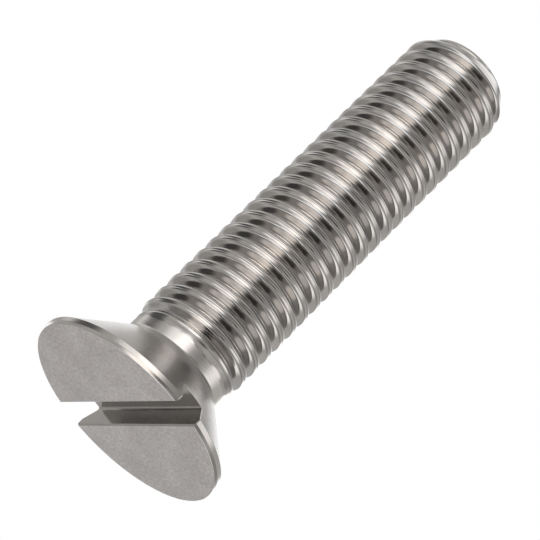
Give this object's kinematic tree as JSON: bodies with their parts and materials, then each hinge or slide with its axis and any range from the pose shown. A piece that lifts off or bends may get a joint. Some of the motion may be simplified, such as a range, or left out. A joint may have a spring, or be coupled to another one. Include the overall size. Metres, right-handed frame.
{
  "type": "slotted countersunk screw",
  "caption": "Steel machine screw with a flat countersunk head, a straight driver slot across its face, a short plain neck and a right-hand metric thread down to a bevelled tip.",
  "frame": {"origin": "centre of the flat face of the head, which the screw stands on", "axes": "+Z along the shank from the head to the tip, +X along the driver slot"},
  "size_m": [0.0144, 0.0146, 0.035],
  "materials": {
    "steel": "bright rolled thread, finely turned cone and neck, satin face"
  },
  "bodies": {
    "root": {"screw": "steel"}
  },
  "joints": []
}
